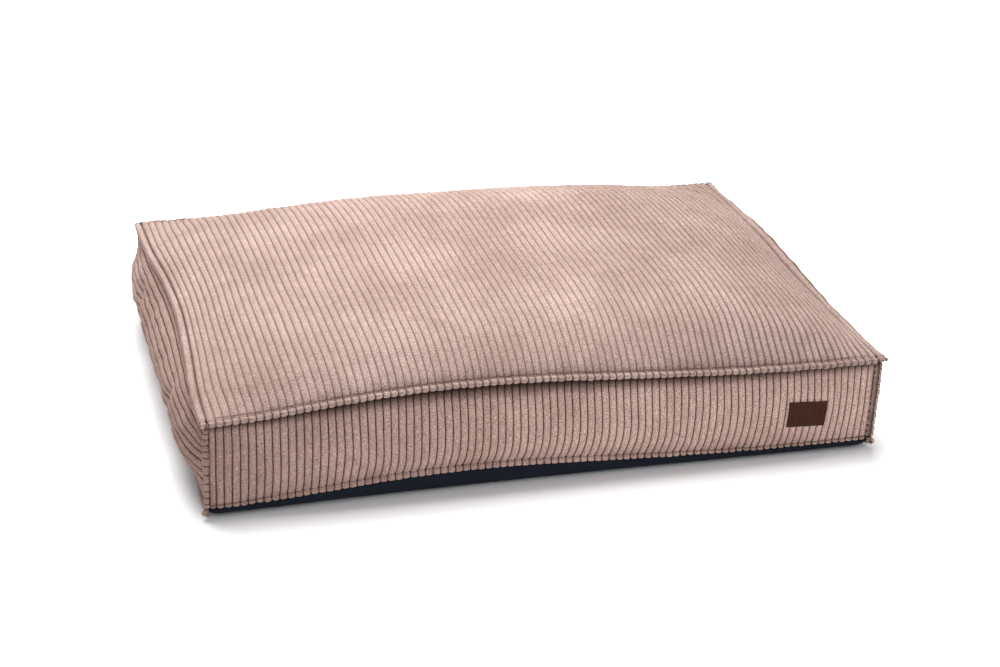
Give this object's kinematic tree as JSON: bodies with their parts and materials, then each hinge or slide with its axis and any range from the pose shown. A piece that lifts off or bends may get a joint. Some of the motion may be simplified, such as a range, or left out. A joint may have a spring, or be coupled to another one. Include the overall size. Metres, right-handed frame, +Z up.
{
  "type": "pet cushion bed",
  "caption": "Rectangular box cushion bed for a pet in dusty pink jumbo corduroy, with flanged edges, a dark base cloth and a plain leather patch.",
  "frame": {"origin": "on the floor under the middle of the cushion", "axes": "+X along the length to the right seen from the label side, +Y to the zip at the back, +Z up"},
  "size_m": [1.017, 0.7227, 0.2265],
  "materials": {
    "corduroy": "matte",
    "base_cloth": "matte",
    "thread": "matte",
    "label_leather": "satin",
    "lining": "matte",
    "filling": "matte",
    "zip_tape": "matte",
    "zip_coil": "semi-gloss",
    "zip_metal": "satin"
  },
  "bodies": {
    "root": {"top_panel": "corduroy", "front_panel": "corduroy", "left_panel": "corduroy", "right_panel": "corduroy", "back_panel_upper": "corduroy", "back_panel_lower": "corduroy", "base_panel": "base_cloth", "top_edge_thread": "thread", "base_thread_front": "thread", "base_thread_back": "thread", "base_thread_left": "thread", "base_thread_right": "thread", "corner_thread_front_left": "thread", "corner_thread_front_right": "thread", "corner_thread_back_right": "thread", "corner_thread_back_left": "thread", "label_patch": "label_leather", "label_thread_upper": "thread", "label_thread_lower": "thread", "inner_lining_base": "lining", "inner_lining_top": "lining", "fibre_filling": "filling", "zip_tape_upper": "zip_tape", "zip_tape_lower": "zip_tape", "zip_coil_upper": "zip_coil", "zip_coil_lower": "zip_coil", "zip_top_stop_upper": "zip_metal", "zip_top_stop_lower": "zip_metal", "zip_end_stop": "zip_metal", "zip_thread_upper": "thread", "zip_thread_lower": "thread"},
    "zip_slider": {"zip_slider": "zip_metal"},
    "zip_pull": {"zip_pull_tab": "zip_metal"}
  },
  "joints": [
    {"name": "zip_slide", "type": "slide", "parent": "root", "child": "zip_slider", "axis": [-1, 0, 0], "range_m": [0, 0.6808]},
    {"name": "pull_hinge", "type": "hinge", "parent": "zip_slider", "child": "zip_pull", "pos_m": [0.3414, 0.36135, 0.09433], "axis": [0, 0, -1], "range_deg": [0, 170]}
  ]
}
